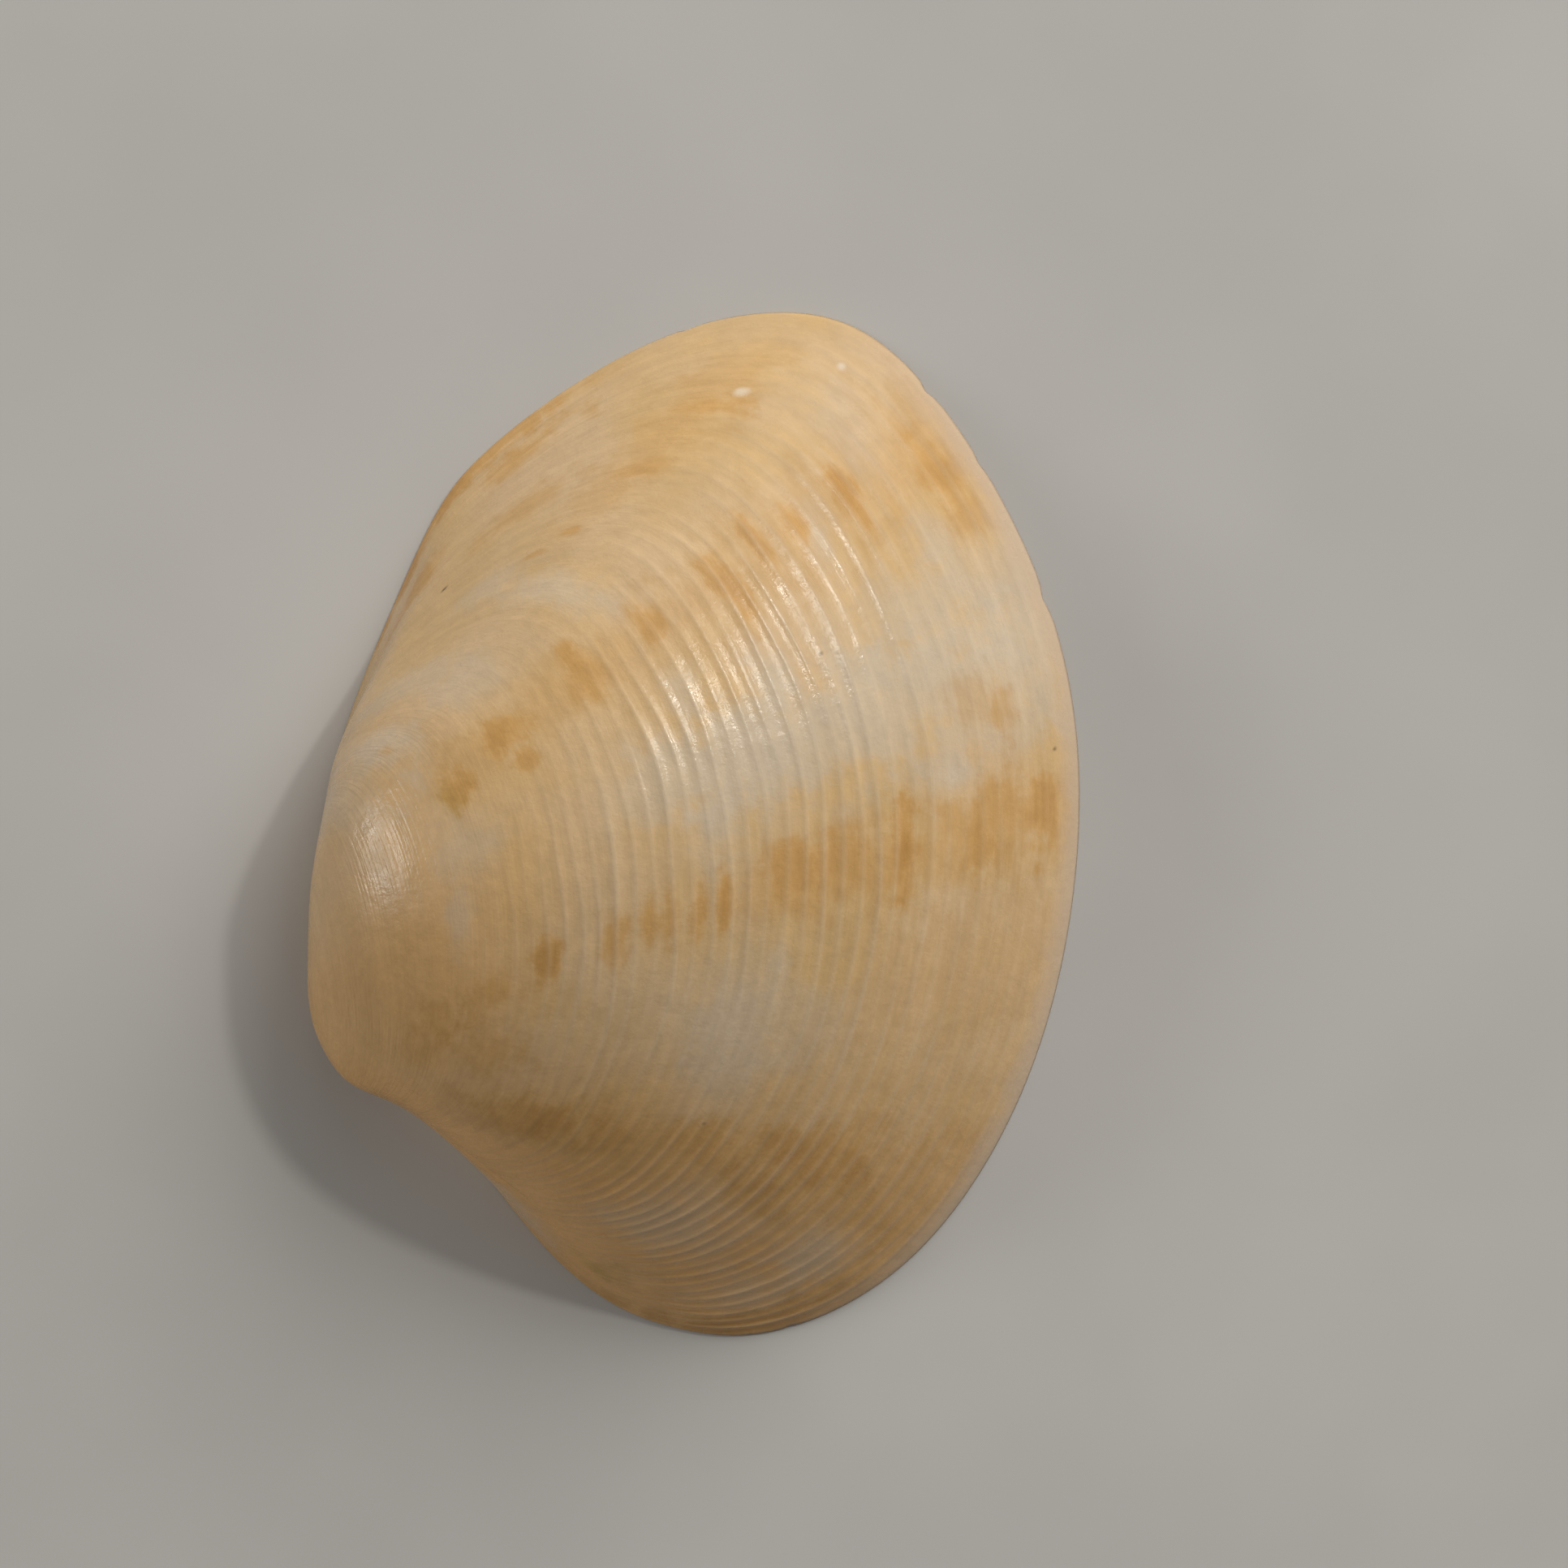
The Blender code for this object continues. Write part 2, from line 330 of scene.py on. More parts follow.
def spread_places():
    """Places of the columns along the rim, closer together at the hinge."""
    fine = np.linspace(0.0, 1.0, PLACE_SAMPLES)
    near_hinge = (fine < HINGE_SHARE) | (fine > 1.0 - HINGE_SHARE)
    weight = np.where(near_hinge, HINGE_DENSITY, 1.0)
    steps = 0.5 * (weight[1:] + weight[:-1])
    total = np.concatenate([[0.0], np.cumsum(steps)])
    return np.interp(np.arange(COLUMNS) / COLUMNS * total[-1], total, fine)


def grid_normals(grid):
    """Outward unit normals of the outside grid."""
    along = np.roll(grid, -1, axis=1) - np.roll(grid, 1, axis=1)
    across = np.cross(along, np.gradient(grid, axis=0))
    return across / (np.linalg.norm(across, axis=2, keepdims=True) + TINY)


def outer_grid(place):
    """The outside: points, ages and crest shares, rows by age."""
    per_ridge = len(RIDGE_PHASES)
    steps = np.arange(RIDGE_COUNT)[:, None] + np.array(RIDGE_PHASES)
    steps = np.append(steps.ravel(), RIDGE_COUNT)
    last = ridge_age(RIDGE_COUNT)
    umbo = np.linspace(last, AGE_OF_TIP, UMBO_ROWS + 1)[1:]
    umbo_steps = RIDGE_COUNT + (umbo - last) / (umbo[0] - last) / per_ridge
    row = np.concatenate([steps, umbo_steps])[:, None]
    age = np.concatenate([ridge_age(steps), umbo])[:, None]

    # Each ridge wanders a little, less at the rim and not at all on the umbo.
    seed, turns, drift = WANDER
    free = np.clip(row / WANDER_FREE_ROW, 0.0, 1.0)
    free = free * np.clip((last - age) / WANDER_UMBO_FADE, 0.0, 1.0)
    wander = waves(seed, place[None, :], row, turns, drift)
    wander = wander * RIDGE_WOBBLE * free
    widening = np.exp(RIDGE_WIDENING * np.minimum(row, RIDGE_COUNT))
    age = age + wander * (RIDGE_STEP * widening)

    rim = np.broadcast_to(rim_curve(place), (*age.shape, 2))
    grid = outer_point(age, rim)
    normal = grid_normals(grid)

    # Some ridges are stronger than others, and each varies along its length.
    index = np.minimum(np.floor(row), RIDGE_COUNT - 1)
    phase = np.clip(row - index, 0.0, 1.0)
    profile = np.exp(-((phase - CREST_PHASE) / CREST_WIDTH) ** 2)
    strength = STRENGTH_MEAN
    for share, seed, jump, turns, drift in STRENGTH_WAVES:
        wave = waves(seed, place[None, :], jump * index, turns, drift)
        strength = strength + share * wave
    strength = np.clip(strength, *STRENGTH_LIMITS)
    crest = profile * ridge_share(age, place[None, :]) * strength
    gap = np.full(age.shape, UMBO_GAP)
    for i in range(RIDGE_COUNT):
        low, high = i * per_ridge, (i + 1) * per_ridge
        gap[low:high + 1] = np.linalg.norm(grid[high] - grid[low], axis=1)
    height = np.minimum(RIDGE_HEIGHT, RIDGE_STEEPNESS * gap) * crest

    edge = LUNULE_PLACE + LUNULE_DRIFT * np.minimum(age, LUNULE_DRIFT_AGE)
    groove = np.exp(-((place[None, :] - edge) / LUNULE_WIDTH) ** 2)
    young = np.clip(age / LUNULE_NEW_FADE, 0.0, 1.0)
    old = np.clip((LUNULE_OLD_EDGE - age) / LUNULE_OLD_FADE, 0.0, 1.0)
    height = height - LUNULE_DEPTH * (groove * (young * old))
    grid = grid + normal * height[..., None]
    return grid, age, np.minimum(crest, CREST_CAP)


def finish_lip(grid, age, place):
    """Round the lip and break the small chips out of it."""
    outward = grid_normals(grid) * (1.0, 1.0, 0.0)
    outward /= np.linalg.norm(outward, axis=2, keepdims=True) + TINY
    inset = LIP_INSET * np.exp(-age / LIP_AGE)
    for centre, half, depth in CHIPS:
        notch = np.exp(-((place[None, :] - centre) / half) ** 2)
        inset = inset + depth * notch * np.exp(-age / CHIP_AGE)
    away = np.minimum(place, 1.0 - place) / LIP_BEAK_FADE
    away = np.clip(away, 0.0, 1.0)
    return grid - outward * (inset * away)[..., None]


def ceiling_finder():
    """Function giving the height of the smooth outside over a point."""
    place = np.linspace(0.0, 1.0, CEILING_COLUMNS, endpoint=False)
    ages = np.linspace(0.0, AGE_OF_TIP, CEILING_ROWS)[:, None]
    age = np.broadcast_to(ages, (CEILING_ROWS, CEILING_COLUMNS))
    grid = outer_point(age, np.broadcast_to(rim_curve(place), (*age.shape, 2)))
    corners = [Vector(p) for p in grid.reshape(-1, 3)]
    tree = BVHTree.FromPolygons(corners, grid_faces(0, *age.shape))

    def height(x, y):
        start = Vector((x, y, RAY_START))
        spot = tree.ray_cast(start, Vector((0.0, 0.0, -1.0)))[0]
        return spot.z if spot else 0.0

    return height


def grid_faces(first, rows, columns):
    """Quads of a grid that closes on itself along its columns."""
    index = first + np.arange(rows * columns).reshape(rows, columns)
    near, far = index[:-1], index[1:]
    turned = [np.roll(near, -1, axis=1), np.roll(far, -1, axis=1)]
    quads = np.stack([near, turned[0], turned[1], far], axis=-1)
    return quads.reshape(-1, 4).tolist()


def smooth_box(value, half, soft):
    """1 inside plus or minus half, falling to 0 over the soft width."""
    share = np.clip((half + soft - np.abs(value)) / (2.0 * soft), 0.0, 1.0)
    return share * share * (3.0 - 2.0 * share)


def socket_depth(points):
    """How deep the hinge sockets lie at these points."""
    depth = np.zeros(points.shape[:-1])
    for angle_deg in SOCKET_ANGLES_DEG:
        angle = math.radians(angle_deg)
        arm = points - np.array(BEAK)
        along = arm @ np.array([math.cos(angle), math.sin(angle)])
        across = arm @ np.array([-math.sin(angle), math.cos(angle)])
        far = np.clip((along - SOCKET_START) / SOCKET_LENGTH, 0.0, 1.0)
        half = 0.5 * SOCKET_WIDTH * (SOCKET_NARROW + SOCKET_FLARE * far)
        middle = SOCKET_START + SOCKET_LENGTH / 2.0
        share = smooth_box(
            along - middle, SOCKET_LENGTH / 2.0, SOCKET_SOFT_END)
        share = share * smooth_box(across, half, SOCKET_SOFT_SIDE)
        depth = np.maximum(depth, SOCKET_DEPTH * share)
    return depth


def scar_share(x, y):
    """Share of the muscle scars."""
    share = 0.0
    for (cx, cy), half_length, half_width, turn_deg in MUSCLE_SCARS:
        turn = math.radians(turn_deg)
        along = (x - cx) * math.cos(turn) + (y - cy) * math.sin(turn)
        across = (y - cy) * math.cos(turn) - (x - cx) * math.sin(turn)
        far = math.hypot(along / half_length, across / half_width)
        share = max(share, float(smooth_box(far, SCAR_REACH, SCAR_SOFT)))
    return share


def pallial_share(x, y, reach_share):
    """Share of the line where the mantle was fixed, with its rear bay."""
    bearing = math.atan2(y - CAVITY_CENTRE[1], x - CAVITY_CENTRE[0])
    bay = math.exp(-((bearing - BAY_BEARING) / BAY_HALF) ** 2)
    line = PALLIAL_LINE - BAY_DEPTH * bay
    shown = float(
        smooth_box(bearing + PALLIAL_MIDDLE, PALLIAL_HALF, PALLIAL_SOFT))
    return shown * math.exp(-((reach_share - line) / PALLIAL_WIDTH) ** 2)


def inner_grid(rim, ceiling):
    """The underside from the lip to the middle: points and mark shares."""
    centre = np.array(CAVITY_CENTRE)
    arm = rim - centre
    distance = np.linalg.norm(arm, axis=1)
    bearing = np.arctan2(arm[:, 1], arm[:, 0])
    to_beak = np.array(BEAK) - centre
    hinge_bearing = math.atan2(to_beak[1], to_beak[0])
    off_hinge = (bearing - hinge_bearing + math.pi) % math.tau - math.pi
    hinge = np.exp(-(off_hinge / math.radians(HINGE_SPREAD_DEG)) ** 2)
    reach = distance - RIM_LAND - HINGE_PLATE * hinge
    direction = arm / distance[:, None]

    rows, marks = [], []
    for step in np.linspace(0.0, 1.0, LAND_ROWS + 1)[1:]:
        far = distance + (reach - distance) * step
        flat = centre + direction * far[:, None]
        height = socket_depth(flat)
        rows.append(np.column_stack([flat, height]))
        marks.append(np.zeros(len(flat)))
    edge_height = rows[-1][:, 2]
    cavity_steps = np.linspace(0.0, 1.0, CAVITY_ROWS + 2)[1:-1]
    for step in cavity_steps ** CAVITY_CROWDING:
        flat = centre + direction * (reach * (1.0 - step))[:, None]
        rise = 1.0 - (1.0 - min(1.0, step / CAVITY_SHOULDER)) ** 2
        top = np.array([ceiling(x, y) for x, y in flat]) - WALL
        mark = np.array([scar_share(x, y) for x, y in flat])
        line = np.array([pallial_share(x, y, 1.0 - step) for x, y in flat])
        height = rise * top + SCAR_DEPTH * (mark + PALLIAL_SHARE * line)
        run_out = max(0.0, 1.0 - SOCKET_RUN_OUT * step)
        height = np.maximum(height, edge_height * run_out)
        height = np.maximum(CAVITY_LEAST, height)
        rows.append(np.column_stack([flat, height]))
        marks.append(np.maximum(mark, line))
    return np.array(rows), np.array(marks)


def build_valve():
    """The whole valve as one closed mesh with its growth coordinates."""
    place = spread_places()
    grid, age, crest = outer_grid(place)
    grid = finish_lip(grid, age, place)
    grid[..., 2] = np.maximum(grid[..., 2], 0.0)
    grid[0, :, 2] = 0.0
    ceiling = ceiling_finder()
    inner, marks = inner_grid(grid[0, :, :2], ceiling)

    rows, columns = age.shape
    tip = grid[-1].mean(axis=0)
    x, y = CAVITY_CENTRE
    middle = np.array([x, y, ceiling(x, y) - WALL])
    points = np.concatenate(
        [grid.reshape(-1, 3), inner.reshape(-1, 3), [tip], [middle]])
    tip_at = len(points) - 2
    middle_at = len(points) - 1
    inner_first = rows * columns

    pairs = [(i, (i + 1) % columns) for i in range(columns)]
    outer_faces = grid_faces(0, rows, columns)
    top = (rows - 1) * columns
    outer_faces += [(top + i, top + j, tip_at) for i, j in pairs]
    inner_faces = [(inner_first + i, inner_first + j, j, i) for i, j in pairs]
    for quad in grid_faces(inner_first, len(inner), columns):
        inner_faces.append(tuple(reversed(quad)))
    last = inner_first + (len(inner) - 1) * columns
    inner_faces += [(last + j, last + i, middle_at) for i, j in pairs]

    data = bpy.data.meshes.new("valve_shell")
    data.from_pydata((points * MM).tolist(), [], outer_faces + inner_faces)
    data.validate()
    slots = np.zeros(len(data.polygons), np.int32)
    slots[len(outer_faces):] = 1
    data.polygons.foreach_set("material_index", slots)

    flat_age = np.concatenate(
        [age.ravel(), np.zeros(inner.shape[0] * columns), [AGE_OF_TIP], [0.0]])
    flat_place = np.concatenate(
        [np.tile(place, rows + len(inner)), [0.5, 0.5]])
    write_growth_map(data, flat_place, flat_age)
    inner_marks = np.zeros(len(points))
    inner_marks[inner_first:inner_first + marks.size] = marks.ravel()
    write_values(data, "scar", inner_marks)
    ridge = np.zeros(len(points))
    ridge[:rows * columns] = crest.ravel()
    write_values(data, "crest", ridge)
    data.shade_smooth()
    return data


def write_growth_map(data, place, age):
    """UV map: place along the rim, and age over the age of the tip."""
    corners = np.zeros(len(data.loops), np.int32)
    data.loops.foreach_get("vertex_index", corners)
    u = place[corners]
    first = np.zeros(len(data.polygons), np.int32)
    size = np.zeros(len(data.polygons), np.int32)
    data.polygons.foreach_get("loop_start", first)
    data.polygons.foreach_get("loop_total", size)
    owner = np.repeat(np.arange(len(first)), size)
    highest = np.maximum.reduceat(u, first)
    # The faces behind the beak end at place 1, where the rim closes.
    u = np.where((highest[owner] > 0.9) & (u < 0.1), 1.0, u)
    layer = data.uv_layers.new(name="growth")
    pairs = np.column_stack([u, age[corners] / AGE_OF_TIP])
    layer.data.foreach_set("uv", pairs.astype(np.float32).ravel())


def write_values(data, name, values):
    """One number for each vertex, read by the materials."""
    layer = data.attributes.new(name, "FLOAT", "POINT")
    layer.data.foreach_set("value", values.astype(np.float32))


class Nodes:
    """Short calls that build a node tree."""

    def __init__(self, tree):
        self.tree = tree

    def put(self, socket, value):
        if isinstance(value, bpy.types.NodeSocket):
            self.tree.links.new(value, socket)
        else:
            socket.default_value = value

    def add(self, kind, inputs, **settings):
        node = self.tree.nodes.new(kind)
        for name, value in settings.items():
            setattr(node, name, value)
        for key, value in inputs.items():
            self.put(node.inputs[key], value)
        return node

    def math(self, operation, a, b=0.0):
        settings = {"operation": operation}
        return self.add("ShaderNodeMath", {0: a, 1: b}, **settings).outputs[0]

    def plus(self, a, b):
        return self.math("ADD", a, b)

    def minus(self, a, b):
        return self.math("SUBTRACT", a, b)

    def times(self, a, b):
        return self.math("MULTIPLY", a, b)

    def fade(self, value, low, high, out_low=0.0, out_high=1.0):
        inputs = {0: value, 1: low, 2: high, 3: out_low, 4: out_high}
        settings = {"interpolation_type": "SMOOTHSTEP"}
        return self.add("ShaderNodeMapRange", inputs, **settings).outputs[0]

    def mix(self, share, a, b, blend="MIX"):
        settings = {"data_type": "RGBA", "blend_type": blend}
        inputs = {0: share, 6: a, 7: b}
        return self.add("ShaderNodeMix", inputs, **settings).outputs[2]

    def vector(self, x, y, z=0.0):
        return self.add("ShaderNodeCombineXYZ", {0: x, 1: y, 2: z}).outputs[0]

    def noise(self, vector, scale, detail, roughness):
        inputs = {"Vector": vector, "Scale": scale, "Detail": detail,
                  "Roughness": roughness}
        return self.add("ShaderNodeTexNoise", inputs).outputs[0]


# Colours of the shell, linear.
CREAM = (0.74, 0.53, 0.31, 1.0)
STRAW = (0.72, 0.49, 0.235, 1.0)
MILK = (0.71, 0.595, 0.455, 1.0)
HONEY = (0.70, 0.42, 0.16, 1.0)
WARM = (0.77, 0.44, 0.155, 1.0)
AMBER = (0.56, 0.29, 0.08, 1.0)
OLIVE = (0.44, 0.30, 0.05, 1.0)
BLUSH = (0.67, 0.52, 0.38, 1.0)
SPECK = (0.16, 0.10, 0.05, 1.0)
CHALK = (0.90, 0.80, 0.66, 1.0)
PORCELAIN = (0.82, 0.76, 0.66, 1.0)
INSIDE_CREAM = (0.80, 0.66, 0.47, 1.0)
SCAR_TAN = (0.70, 0.60, 0.46, 1.0)

# Noise: fineness, detail and roughness. Noise in growth coordinates has two
# finenesses, along the growth lines and across them.
CLOUDS = (190.0, 3.0, 0.5)
MOTTLE = (650.0, 4.0, 0.6)
GLOSS = (900.0, 3.0, 0.6)
RIPPLES = (1100.0, 5.0, 0.62)
INSIDE_CLOUDS = (160.0, 4.0, 0.5)
INSIDE_GLOSS = (700.0, 3.0, 0.6)
INSIDE_PITS = (2600.0, 3.0, 0.5)
FLOOR_GRAIN = (60.0, 3.0, 0.5)
FIBRES = (70.0, 120.0, 3.0, 0.6)
YEARS = (4.0, 34.0, 3.0, 0.55)
STRIAE = (9.0, 290.0, 1.0, 0.5)

# Smooth fades: the value where they start, the value where they end, and
# where it isn't 0 and 1, what they give at each.
CREAM_FADE = (0.34, 0.66)
# The front warmth is partly the shell's tint and partly painted shade of the
# dim front slope.
FRONT_WARMTH_AND_SHADE = (0.42, 0.24, 0.0, 0.90)
UMBO_WARMTH = (0.60, 1.15, 0.0, 0.60)
UMBO_WARMTH_REAR = (0.58, 0.42, 0.35)
SPOT_FADE = (1.75, 0.15)
RAY_FADE = (1.25, 0.25)
HONEY_FADE = (0.0, 0.5)
AMBER_FADE = (0.25, 1.1)
FIBRE_TONE = (0.30, 0.70, 0.96, 1.035)
MOTTLE_TONE = (0.3, 0.7, 0.96, 1.03)
YEAR_TONE = (0.32, 0.68, 0.955, 1.03)
BLUSH_AGE = (0.042, 0.008)
BLUSH_FRONT = (0.20, 0.34)
BLUSH_REAR = (0.66, 0.58)
ROUGHNESS = (0.3, 0.7, 0.20, 0.32)
STRIAE_GROWTH = (0.7, 1.3, 0.6, 1.5)
INSIDE_CREAM_FADE = (0.35, 0.7)
INSIDE_ROUGHNESS = (0.3, 0.7, 0.26, 0.42)
FLOOR_SHADE = (0.3, 0.7, 0.60, 0.64)

# How much of each goes into the colour or the relief. A ray fades over the
# two spans of age. The units of bump are mm for each 1 of height.
RAGGED_FIBRES = 0.9
RAGGED_MOTTLE = 2.9
RAY_OLD_SPAN = 0.2
RAY_YOUNG_SPAN = 0.1
MILKY_SHARE = 0.85
AMBER_SHARE = 0.75
# Less amber on the crests, so the grooves stay darker: partly painted shade in
# the grooves.
AMBER_OFF_CREST = 0.7
OLIVE_SHARE = 0.6
CREST_SHARE = 0.22
BLUSH_SHARE = 0.85
BLUSH_RAGGED = 0.012
SCAR_SHARE = 0.5
RIPPLE_SHARE = 4.0
BUMP_UNIT = 0.011
INSIDE_BUMP_UNIT = 0.004
SHELL_IOR = 1.53

# Rays of darker and of milky colour from the umbo to the rim: place at the
# rim, drift of place with age, half width, youngest and oldest age, strength.
RAYS = (
    (0.592, 0.010, 0.030, -0.10, 1.10, 0.45),
    (0.457, -0.022, 0.019, -0.10, 0.60, 0.65),
    (0.328, -0.050, 0.032, -0.10, 1.20, 0.65),
    (0.685, 0.100, 0.032, 0.02, 0.50, 0.45),
    (0.415, -0.040, 0.030, -0.10, 0.40, 0.35),
)
MILKY_RAYS = (
    (0.508, 0.015, 0.032, -0.02, 0.75, 0.70),
    (0.395, -0.020, 0.022, 0.25, 0.70, 0.30),
    (0.545, 0.000, 0.020, -0.10, 0.35, 0.45),
)

# Brown blotches: place, age, half place, half age, strength. The wide band
# along the rim at the front end and the strip along the back edge are partly
# painted shade on their steep slopes.
BLOTCHES_AND_EDGE_SHADE = (
    (0.690, 0.160, 0.024, 0.018, 0.40),
    (0.708, 0.280, 0.018, 0.017, 0.35),
    (0.785, 0.265, 0.028, 0.046, 0.30),
    (0.723, 0.400, 0.008, 0.010, 0.40),
    (0.742, 0.440, 0.008, 0.010, 0.35),
    (0.595, 0.165, 0.012, 0.013, 0.85),
    (0.598, 0.245, 0.011, 0.015, 0.55),
    (0.602, 0.300, 0.015, 0.011, 0.80),
    (0.598, 0.370, 0.017, 0.019, 0.65),
    (0.582, 0.360, 0.013, 0.012, 0.60),
    (0.585, 0.060, 0.012, 0.024, 0.45),
    (0.567, 0.045, 0.017, 0.036, 0.35),
    (0.602, 0.495, 0.013, 0.020, 0.60),
    (0.595, 0.630, 0.019, 0.031, 0.50),
    (0.622, 0.625, 0.013, 0.017, 0.40),
    (0.595, 0.800, 0.016, 0.046, 0.55),
    (0.600, 0.838, 0.014, 0.028, 0.45),
    (0.570, 0.800, 0.012, 0.027, 0.50),
    (0.578, 0.970, 0.019, 0.040, 0.70),
    (0.503, 0.130, 0.012, 0.045, 0.22),
    (0.498, 0.090, 0.012, 0.018, 0.18),
    (0.455, 0.405, 0.015, 0.043, 0.55),
    (0.453, 0.325, 0.013, 0.039, 0.45),
    (0.453, 0.240, 0.017, 0.018, 1.00),
    (0.450, 0.140, 0.008, 0.019, 0.50),
    (0.456, 0.050, 0.012, 0.020, 0.75),
    (0.461, 0.120, 0.014, 0.060, 0.40),
    (0.447, 0.500, 0.016, 0.013, 0.75),
    (0.443, 0.545, 0.014, 0.016, 0.50),
    (0.443, 0.590, 0.015, 0.017, 0.50),
    (0.442, 0.625, 0.013, 0.014, 0.45),
    (0.432, 0.690, 0.016, 0.028, 0.45),
    (0.423, 0.830, 0.014, 0.030, 0.80),
    (0.405, 0.955, 0.016, 0.058, 0.45),
    (0.378, 1.135, 0.020, 0.074, 0.45),
    (0.340, 1.180, 0.030, 0.110, 0.35),
    (0.355, 0.930, 0.026, 0.090, 0.35),
    (0.272, 0.880, 0.028, 0.070, 0.40),
    (0.293, 0.790, 0.030, 0.110, 0.70),
    (0.300, 0.690, 0.020, 0.050, 0.75),
    (0.296, 0.580, 0.020, 0.050, 0.60),
    (0.320, 0.410, 0.017, 0.085, 0.50),
    (0.327, 0.235, 0.014, 0.075, 0.70),
    (0.343, 0.195, 0.013, 0.060, 0.10),
    (0.300, 0.275, 0.014, 0.056, 0.50),
    (0.308, 0.110, 0.013, 0.050, 0.40),
    (0.177, 0.180, 0.019, 0.035, 0.45),
    # Brown along the rim at the front end, widened as painted shade of its
    # steep, dim slope.
    (0.195, 0.024, 0.085, 0.032, 0.95),
    (0.678, 1.060, 0.015, 0.020, 0.25),
    # Orange-tan strip along the back edge, darkened as painted shade of its
    # steep slope.
    (0.892, 0.025, 0.030, 0.040, 0.80),
    (0.880, 0.205, 0.030, 0.050, 0.45),
    (0.835, 0.020, 0.050, 0.030, 0.40),
    (0.813, 0.095, 0.030, 0.040, 0.40),
    (0.140, 0.175, 0.022, 0.045, 0.50),
)

# Milky patches: place, age, half place, half age, strength.
MILKY_PATCHES = (
    (0.772, 0.480, 0.026, 0.051, 0.45),
    (0.673, 0.535, 0.055, 0.037, 0.70),
    (0.768, 0.760, 0.055, 0.080, 0.50),
    (0.720, 1.050, 0.077, 0.070, 0.75),
    (0.700, 1.320, 0.110, 0.200, 0.50),
    (0.670, 0.800, 0.035, 0.090, 0.55),
    (0.530, 1.010, 0.030, 0.080, 0.45),
    (0.940, 0.600, 0.045, 0.160, 0.45),
    (0.560, 0.500, 0.013, 0.032, 0.65),
    (0.487, 0.500, 0.030, 0.043, 0.80),
    (0.532, 0.380, 0.020, 0.039, 0.90),
    (0.503, 0.420, 0.026, 0.036, 0.70),
    (0.530, 0.155, 0.016, 0.062, 0.90),
    (0.520, 0.080, 0.016, 0.036, 0.80),
    (0.525, 0.275, 0.021, 0.037, 0.60),
    (0.477, 0.165, 0.006, 0.025, 1.00),
    (0.390, 0.465, 0.036, 0.054, 0.45),
    (0.352, 0.450, 0.024, 0.070, 0.35),
    (0.585, 0.230, 0.014, 0.018, 0.60),
    (0.618, 0.110, 0.023, 0.027, 0.45),
    (0.563, 0.100, 0.013, 0.020, 0.60),
    (0.512, 0.030, 0.027, 0.020, 0.70),
    (0.468, 1.050, 0.025, 0.040, 0.50),
    (0.285, 0.120, 0.020, 0.040, 0.55),
    (0.255, 0.330, 0.040, 0.090, 0.45),
    (0.235, 0.100, 0.030, 0.045, 0.40),
    (0.412, 0.410, 0.014, 0.015, 0.40),
    (0.060, 0.350, 0.050, 0.200, 0.70),
)

# Small marks: place, age, half place, half age, strength.
OLIVE_SPOTS = (
    (0.130, 0.155, 0.009, 0.031, 0.75),
    (0.140, 0.180, 0.020, 0.040, 0.30),
    (0.572, 0.995, 0.016, 0.040, 0.35),
)
WHITE_SPECKS = (
    (0.680, 0.135, 0.0042, 0.006, 0.65),
    (0.640, 0.055, 0.0020, 0.004, 0.60),
)
DARK_SPECKS = (
    (0.827, 0.360, 0.0022, 0.0055, 0.90),
    (0.477, 0.035, 0.0009, 0.0032, 0.80),
    (0.332, 0.435, 0.0010, 0.0035, 0.45),
    (0.545, 0.300, 0.0009, 0.0035, 0.50),
)


def spot_group():
    """Group: a soft-edged, ragged spot in growth coordinates."""
    tree = bpy.data.node_groups.new("growth spot", "ShaderNodeTree")
    names = ("Place", "Age", "Ragged", "At Place", "At Age", "Half Place",
             "Half Age", "Strength", "Total")
    for name in names:
        tree.interface.new_socket(
            name=name, in_out="INPUT", socket_type="NodeSocketFloat")
    tree.interface.new_socket(
        name="Total", in_out="OUTPUT", socket_type="NodeSocketFloat")
    make = Nodes(tree)
    given = make.add("NodeGroupInput", {}).outputs
    result = make.add("NodeGroupOutput", {})
    across = make.minus(given["Place"], given["At Place"])
    across = make.math("DIVIDE", across, given["Half Place"])
    along = make.minus(given["Age"], given["At Age"])
    along = make.math("DIVIDE", along, given["Half Age"])
    across = make.times(across, across)
    along = make.times(along, along)
    far = make.math("SQRT", make.plus(across, along))
    far = make.plus(far, given["Ragged"])
    share = make.fade(far, *SPOT_FADE)
    share = make.times(share, given["Strength"])
    clear = make.minus(1.0, share)
    room = make.minus(1.0, given["Total"])
    kept = make.times(clear, room)
    make.put(result.inputs["Total"], make.minus(1.0, kept))
    return tree


def add_spots(make, group, place, age, ragged, spots):
    """Share of a list of spots taken together."""
    total = 0.0
    for at_place, at_age, half_place, half_age, strength in spots:
        inputs = {"Place": place, "Age": age, "Ragged": ragged,
                  "At Place": at_place, "At Age": at_age,
                  "Half Place": half_place, "Half Age": half_age,
                  "Strength": strength, "Total": total}
        node = make.tree.nodes.new("ShaderNodeGroup")
        node.node_tree = group
        for key, value in inputs.items():
            make.put(node.inputs[key], value)
        total = node.outputs["Total"]
    return total


